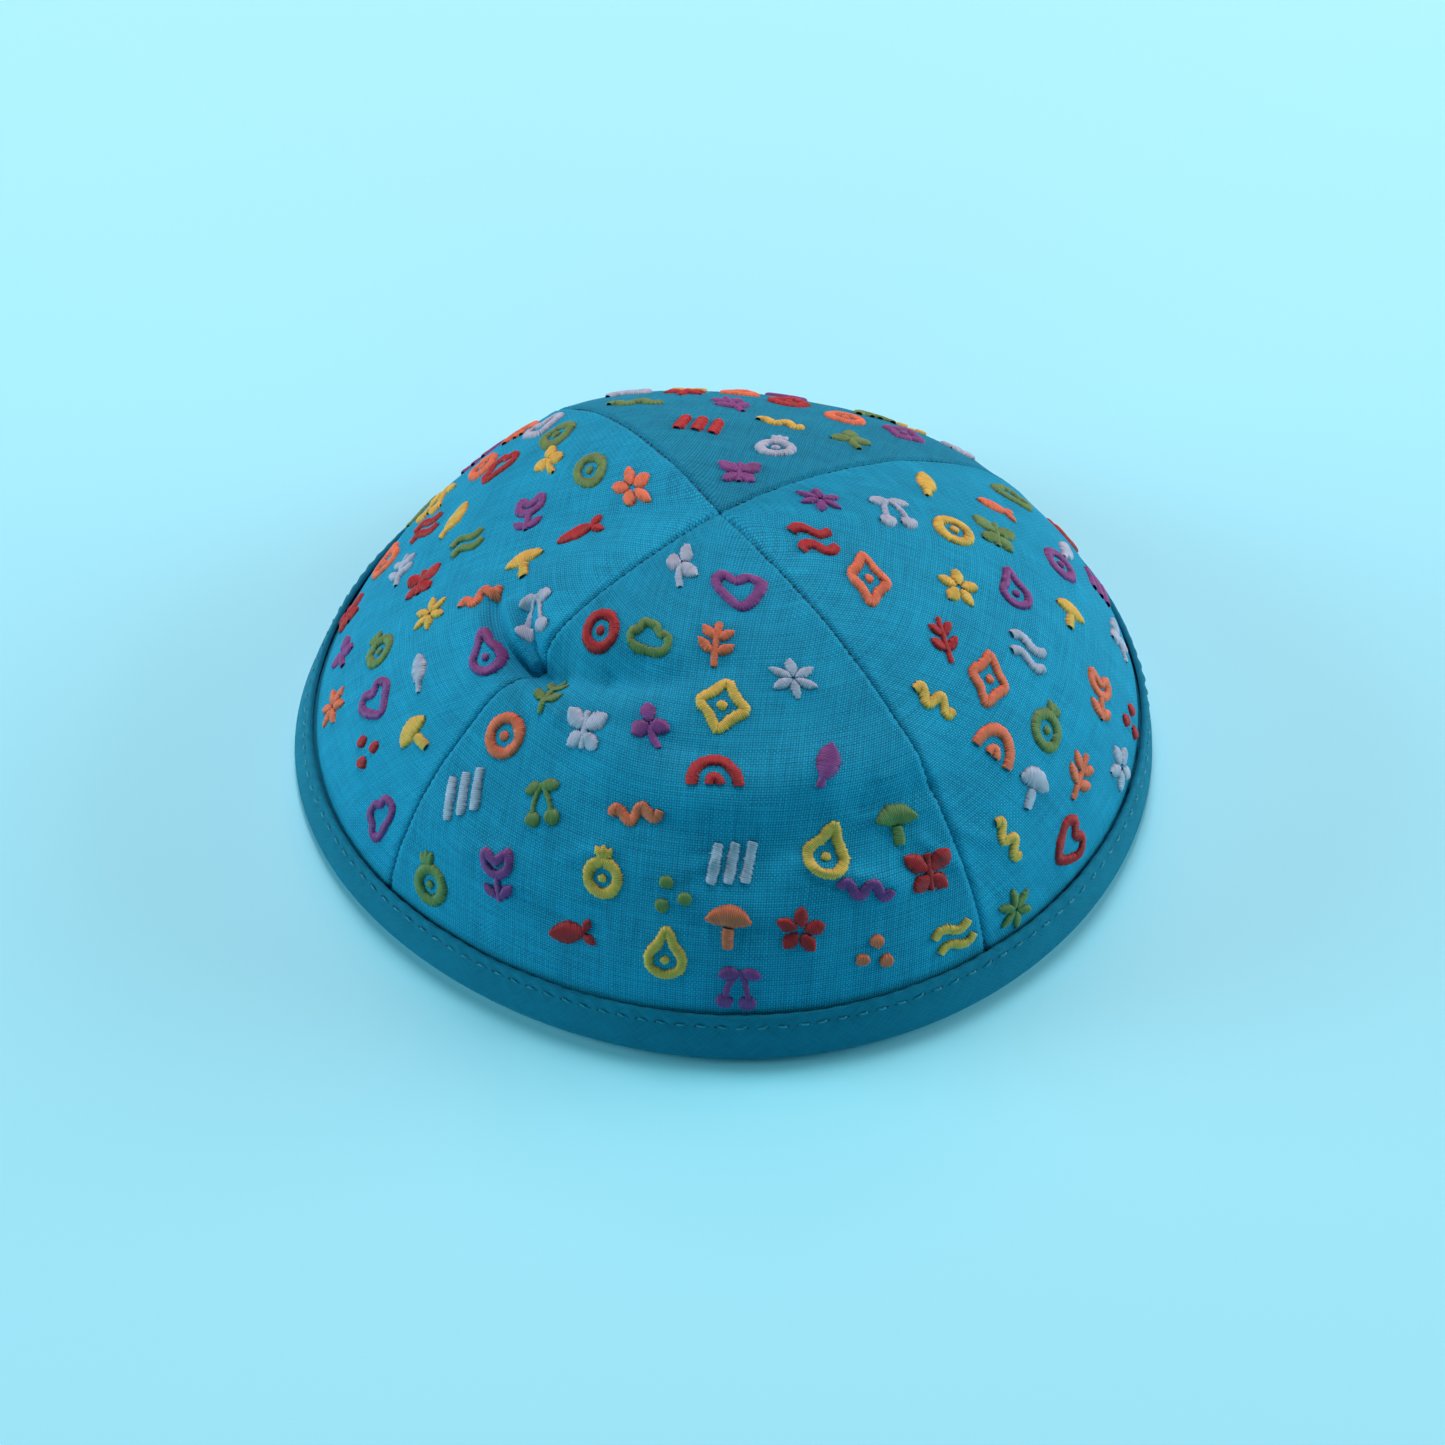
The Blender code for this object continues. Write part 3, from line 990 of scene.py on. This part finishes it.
def drop():
    outline = [(0.2, 5.1), (1.7, 2.2), (3.4, -0.6), (2.6, -3.3)]
    outline += [(0, -4.4), (-2.6, -3.3), (-3.4, -0.6), (-1.5, 2.2)]
    return [stroke(outline, 2.1, closed=True), knot(0, -1.1, 1.9)]


def diamond():
    half = [(0, 4.9), (2.1, 2.3), (4.2, 0), (2.1, -2.3)]
    corners = half + [(-x, -y) for x, y in half]
    return [stroke(corners, 2.1, closed=True), knot(0, 0, 2.0)]


def clover():
    stalk = stroke([(0, 0.3), (0.4, -2.4), (1.5, -4.8)], 1.7)
    return petals(0, 0.9, [90, 206, -26], 0.2, 4.6, 3.7) + [stalk]


def mushroom():
    cap = stroke([(-4.3, 0.9), (0, 2.0), (4.3, 0.9)], 4.6, "leaf")
    return [stroke([(0, -4.4), (0, -0.4)], 2.4), cap]


def tulip():
    head = [(0, 0.4), (-2.7, 1.9), (-2.6, 4.8), (0, 3.1), (2.6, 4.8), (2.7, 1.9)]
    stem = [stroke([(0, 0.2), (0, -5.0)], 1.6)]
    return [stroke(head, 2.0, closed=True)] + stem + petals(0, -4.6, [40, 140], 0.3, 4.6, 2.3)


def cherries():
    stems = [
        stroke([(-2.1, -2.0), (-1.2, 1.2), (0.7, 3.9)], 1.3),
        stroke([(2.4, -2.2), (2.0, 1.2), (0.7, 3.9)], 1.3),
    ]
    leaves = petals(0.7, 3.9, [196, -12], 0.2, 4.4, 2.8)
    return stems + [knot(-2.2, -3.0, 3.5), knot(2.4, -3.2, 3.5)] + leaves


def butterfly():
    wings = petals(0, 0.2, [38, 142], 0.4, 5.6, 3.8) + petals(0, -0.2, [224, 316], 0.4, 4.6, 3.2)
    return wings + [stroke([(0, -3.6), (0, 3.8)], 1.5)]


def slantBars():
    return [stroke([(x - 1.2, -3.8), (x + 1.2, 3.8)], 2.1) for x in (-3.2, 0, 3.2)]


def eyelet():
    return [stroke(arc(0, 0, 3.4, 3.4, 0, 360), 2.4, closed=True), knot(0, 0, 2.0)]


def spark():
    return petals(0, 0, [30, 90, 150, 210, 270, 330], 0.4, 4.8, 2.2)


def leafBlade():
    blade = stroke([(-1.0, -3.4), (0.2, 0), (1.4, 4.9)], 4.4, "leaf")
    return [blade, stroke([(-1.9, -5.0), (-0.9, -2.9)], 1.6)]


def berries():
    return [knot(-2.5, -1.9, 3.0), knot(2.5, -2.1, 3.0), knot(0.1, 2.3, 3.0)]


def ripples():
    rows = []
    for y in (-1.9, 1.9):
        points = [(-4.3 + 8.6 * i / 16, y + 1.0 * math.sin(math.pi * i / 8)) for i in range(17)]
        rows.append(stroke(points, 2.1))
    return rows


def cloud():
    outline = [
        (-4.1, -1.9), (-4.6, 0.2), (-2.9, 1.5), (-1.8, 3.3), (0.9, 3.4),
        (2.1, 1.9), (4.2, 1.3), (4.5, -1.0), (3.0, -2.3), (-0.6, -2.4),
    ]
    return [stroke(outline, 2.0, closed=True)]


def fish():
    body = stroke([(-4.6, 0.2), (0, 0.4), (3.2, 0)], 4.2, "leaf")
    return [body] + petals(2.4, 0, [46, -46], 0.2, 3.4, 2.1)


motifs = [
    daisy, heart, sprig, pomegranate, rainbow, wave, drop, diamond, clover, mushroom, tulip,
    cherries, butterfly, slantBars, eyelet, spark, leafBlade, berries, ripples, cloud, fish,
]


def smoothPath(points, closed):
    # a curve through the points, then evenly spaced places along it
    points = np.asarray(points, float)
    if closed and np.allclose(points[0], points[-1]):
        points = points[:-1]
    if len(points) > 2:
        if closed:
            before, after = points[-1:], points[:2]
        else:
            before, after = [2 * points[0] - points[1]], [2 * points[-1] - points[-2]]
        padded = np.concatenate([before, points, after])
        dense = []
        for a, b, c, d in zip(padded, padded[1:], padded[2:], padded[3:]):
            square = 2 * a - 5 * b + 4 * c - d
            cube = 3 * b - a - 3 * c + d
            for t in np.linspace(0, 1, 12, endpoint=False):
                dense.append(0.5 * (2 * b + (c - a) * t + square * t**2 + cube * t**3))
        dense.append(points[0] if closed else points[-1])
        points = np.array(dense)
    length = np.concatenate([[0], np.cumsum(np.linalg.norm(np.diff(points, axis=0), axis=1))])
    count = max(3, round(length[-1] / embroidery["threadPitch"]))
    places = np.linspace(0, length[-1], 2 * count + 1)
    path = np.stack([np.interp(places, length, points[:, k]) for k in (0, 1)], -1)
    return path, places, length[-1]


def satinStroke(item, random):
    # rows of points across a stroke, odd rows on the threads and even rows between them
    path, places, total = smoothPath(item["points"], item["closed"])
    heading = np.gradient(path, axis=0)
    if item["closed"]:
        heading[0] = heading[-1] = path[1] - path[-2]
    heading /= np.linalg.norm(heading, axis=1)[:, None]
    side = np.stack([-heading[:, 1], heading[:, 0]], -1)
    half = item["width"] / 2
    along = places / embroidery["swayLength"] + random.uniform(0, 30)
    sway = embroidery["sway"] * np.sin(math.pi * places / total) * softNoise(along, along, 0 * along, 41)
    path = path + side * sway[:, None]
    half = half * (1 + embroidery["swell"] * softNoise(along, 0 * along, along, 42))
    if item["closed"]:
        swell = np.ones(len(path))
    elif item["ends"] == "disc":
        swell = np.sqrt(np.clip(1 - (2 * places / total - 1) ** 2, 0.08, 1))
    elif item["ends"] == "leaf":
        swell = np.sin(np.clip(places / total, 0.03, 0.97) * math.pi) ** 0.62
    else:
        reach = np.minimum(places, total - places) + 0.35 * half
        swell = np.sqrt(np.clip(1 - (1 - np.clip(reach / half, 0, 1)) ** 2, 0.05, 1))
    onThread = np.arange(len(path)) % 2 == 1
    ragged = random.uniform(-1, 1, (len(path), 2)) * embroidery["ragged"]
    ragged[~onThread] -= embroidery["notch"]
    stray = (random.uniform(0, 1, ragged.shape) < embroidery["whiskers"]) & onThread[:, None]
    ragged = ragged + stray * random.uniform(*embroidery["strayReach"], ragged.shape)
    lean = random.uniform(-embroidery["lean"], embroidery["lean"], len(path))
    across = np.linspace(-1, 1, embroidery["acrossPoints"])
    rows = []
    for i in range(len(path)):
        edge = np.where(across < 0, ragged[i, 0], ragged[i, 1])
        wide = half[i] * swell[i] + edge * np.abs(across)
        flat = path[i] + side[i] * (wide * across)[:, None]
        flat = flat + heading[i] * (lean[i] * across)[:, None]
        dome = np.sqrt(np.clip(1 - np.abs(across) ** 2.6, 0, 1))
        pad = embroidery["padHeight"] * min(1.15, 0.45 + 0.6 * half[i] * swell[i])
        raised = pad * dome + embroidery["ribHeight"] * (1 if onThread[i] else -1) * dome
        raised = raised - embroidery["sink"] * (1 - dome)
        rows.append(np.column_stack([flat, raised]))
    threadCount = 0.5 * np.arange(len(path))[:, None] + random.randint(0, 900) + 0 * across
    return np.array(rows), np.stack([threadCount, across + 0 * threadCount], -1)


def scatterMotifs(index, random):
    # places on the flat gore, kept apart from each other, the seams and the binding
    middle, lifts, radii, lengths = goreMiddle(index)
    start, end = goreSpan(index)
    halfTurn = math.radians(end - start) / 2
    top = lengths[-1] - embroidery["topMargin"]
    puckerAzimuth, puckerLift = embroidery["pucker"]
    puckerLength = np.interp(puckerLift, lifts, lengths)
    chosen = []
    for spacing in np.linspace(embroidery["spacing"], embroidery["spacingLow"], 6):
        for attempt in range(embroidery["tries"]):
            u = random.uniform(-0.075, 0.075)
            v = random.uniform(embroidery["lowMargin"], top)
            around = np.interp(v, lengths, radii)
            higher = np.interp(v + 4 * mm, lengths, radii)  # at the motif's upper edge
            margin = embroidery["seamMargin"]
            room = min(halfTurn * around - margin, halfTurn * higher - 0.7 * margin)
            turn = (middle + math.degrees(u / around) - puckerAzimuth + 180) % 360 - 180
            aside = math.radians(turn) * around
            if math.hypot(aside, v - puckerLength) < embroidery["puckerMargin"]:
                continue
            if abs(u) <= room and all(math.hypot(u - a, v - b) > spacing for a, b in chosen):
                chosen.append((u, v))
    return chosen


def nearestOf(place, placed, count):
    ranked = sorted(placed, key=lambda other: math.hypot(place[0] - other[0], place[1] - other[1]))
    return ranked[:count]


def pickKind(place, placed, queue, random):
    # the next kind in a shuffled queue that the nearest neighbours don't have
    if len(queue) < 8:
        queue += list(random.permutation(len(motifs)))
    taken = {other[3] for other in nearestOf(place, placed, 4)}
    kind = next(kind for kind in queue if kind not in taken)
    queue.remove(kind)
    return kind


def pickColour(place, placed, used, random):
    # the least used colour that the nearest neighbours don't have
    taken = {other[2] for other in nearestOf(place, placed, 3)}
    free = [name for name in threads if name not in taken]
    return min(free, key=lambda name: used[name] + random.uniform(0, 1.5))


def buildEmbroidery():
    random = np.random.RandomState(embroidery["seed"])
    points = {name: [] for name in threads}
    faces = {name: [] for name in threads}
    places = {name: [] for name in threads}
    used = {name: 0 for name in threads}
    for index in range(len(crown["gores"])):
        middle, lifts, radii, lengths = goreMiddle(index)
        spots = scatterMotifs(index, random)
        queue = []
        placed = []
        for u, v in spots:
            kind = pickKind((u, v), placed, queue, random)
            name = pickColour((u, v), placed, used, random)
            used[name] += 1
            placed.append((u, v, name, kind))
            # the cloth was embroidered before it was cut, so every gore's motifs stand alike
            liftHere = np.interp(v, lengths, lifts)
            azimuthHere = middle + math.degrees(u / np.interp(v, lengths, radii))
            lean = (azimuthHere - middle) * math.sin(liftHere * quarterTurn)
            tilt = random.uniform(-embroidery["tilt"], embroidery["tilt"])
            turn = math.radians(tilt - middle - lean)
            size = random.uniform(embroidery["sizeLow"], embroidery["sizeHigh"])
            c, s = math.cos(turn), math.sin(turn)
            for item in motifs[kind]():
                rows, counts = satinStroke(item, random)
                x = (rows[:, :, 0] * c - rows[:, :, 1] * s) * size * mm
                y = (rows[:, :, 0] * s + rows[:, :, 1] * c) * size * mm
                lift = np.interp(v + y, lengths, lifts)
                azimuth = azimuthHere + np.degrees(x / np.interp(lift, lifts, radii))
                radius, height = crownPoint(azimuth, lift, -rows[:, :, 2] * mm)
                made = toWorld(azimuth, radius, height).reshape(-1, 3)
                faces[name] += gridFaces(*rows.shape[:2], start=len(points[name]), flip=True)
                points[name] += list(made)
                places[name] += list(counts.reshape(-1, 2))
        print("motifs on", crown["gores"][index][0], len(spots))
    for name, colour in threads.items():
        rough = look["threadRough"]
        material = buildThreadMaterial(name + "Floss", threadGroup, colour, rough, look["threadSheen"])
        piece = newPiece(name, points[name], faces[name], material)
        setUvs(piece, np.array(places[name]))


buildEmbroidery()
print("embroidery built")


# Floor, light and camera

studio = {
    "floorSize": 8.0,
    "floorColour": (0.385, 0.812, 0.970),
    "worldColour": (0.80, 0.93, 1.0),
    "worldStrength": 0.0,
    # place, size, watts, colour
    "lights": [
        ((0.0, 0.55, 1.35), 0.45, 9.7, (0.77, 0.975, 1.0)),
        ((-1.30, 0.10, 0.45), 0.7, 13.1, (0.58, 0.985, 1.0)),
        ((1.30, 0.10, 0.45), 0.7, 11.2, (0.60, 1.0, 0.99)),
        ((1.20, 0.60, 0.50), 0.5, 4.2, (1.0, 0.84, 0.77)),
        ((0.0, 1.00, 1.10), 1.0, 12.5, (1.0, 0.39, 0.354)),
        ((0.0, -1.40, 0.35), 0.9, 5.4, (0.22, 0.92, 1.0)),
    ],
    "aimHeight": 0.03,
}

cameraView = {
    "elevation": 45.97,
    "distance": 0.640,
    "lens": 79.86,
    "sensor": 36.0,
    "roll": -1.303,
    "aim": (-0.00039, 0.0, 0.00062),
}


def buildFloor():
    side = studio["floorSize"] / 2
    data = bpy.data.meshes.new("floor")
    corners = [(-side, -side, 0), (side, -side, 0), (side, side, 0), (-side, side, 0)]
    data.from_pydata(corners, [], [(0, 1, 2, 3)])
    material = bpy.data.materials.new("paleFloor")
    material.use_nodes = True
    shader = material.node_tree.nodes["Principled BSDF"]
    shader.inputs["Base Color"].default_value = (*studio["floorColour"], 1)
    shader.inputs["Roughness"].default_value = 0.9
    shader.inputs["Specular IOR Level"].default_value = 0.1
    data.materials.append(material)
    floor = bpy.data.objects.new("floor", data)
    bpy.context.scene.collection.objects.link(floor)
    floor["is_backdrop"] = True


def buildLights():
    world = bpy.data.worlds.new("studioWorld")
    world.use_nodes = True
    background = world.node_tree.nodes["Background"]
    background.inputs[0].default_value = (*studio["worldColour"], 1)
    background.inputs[1].default_value = studio["worldStrength"]
    bpy.context.scene.world = world
    aim = Vector((0, 0, studio["aimHeight"]))
    for number, (place, size, watts, colour) in enumerate(studio["lights"]):
        data = bpy.data.lights.new(f"softbox{number}", "AREA")
        data.size = size
        data.energy = watts
        data.color = colour
        lamp = bpy.data.objects.new(f"softbox{number}", data)
        lamp.location = place
        lamp.rotation_euler = (aim - Vector(place)).to_track_quat("-Z", "Y").to_euler()
        bpy.context.scene.collection.objects.link(lamp)
    bpy.context.scene.view_settings.view_transform = "Standard"


def buildCamera():
    data = bpy.data.cameras.new("camera")
    data.sensor_width = cameraView["sensor"]
    data.lens = cameraView["lens"]
    data.clip_start = 0.01
    camera = bpy.data.objects.new("camera", data)
    rise = math.radians(cameraView["elevation"])
    heading = Vector((0, math.cos(rise), -math.sin(rise)))
    aim = Vector(cameraView["aim"]) - Vector((centre[0], centre[1], 0))
    turn = heading.to_track_quat("-Z", "Y").to_matrix().to_4x4()
    roll = Matrix.Rotation(math.radians(cameraView["roll"]), 4, "Z")
    camera.matrix_world = Matrix.Translation(aim - heading * cameraView["distance"]) @ turn @ roll
    bpy.context.scene.collection.objects.link(camera)
    bpy.context.scene.camera = camera


clearDefaults()
buildFloor()
buildLights()
buildCamera()
print("studio ready")

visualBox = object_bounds()
sizes = {"cad": cadBox, "visual": visualBox}
sizes = {name: [[float(place) for place in corner] for corner in box] for name, box in sizes.items()}
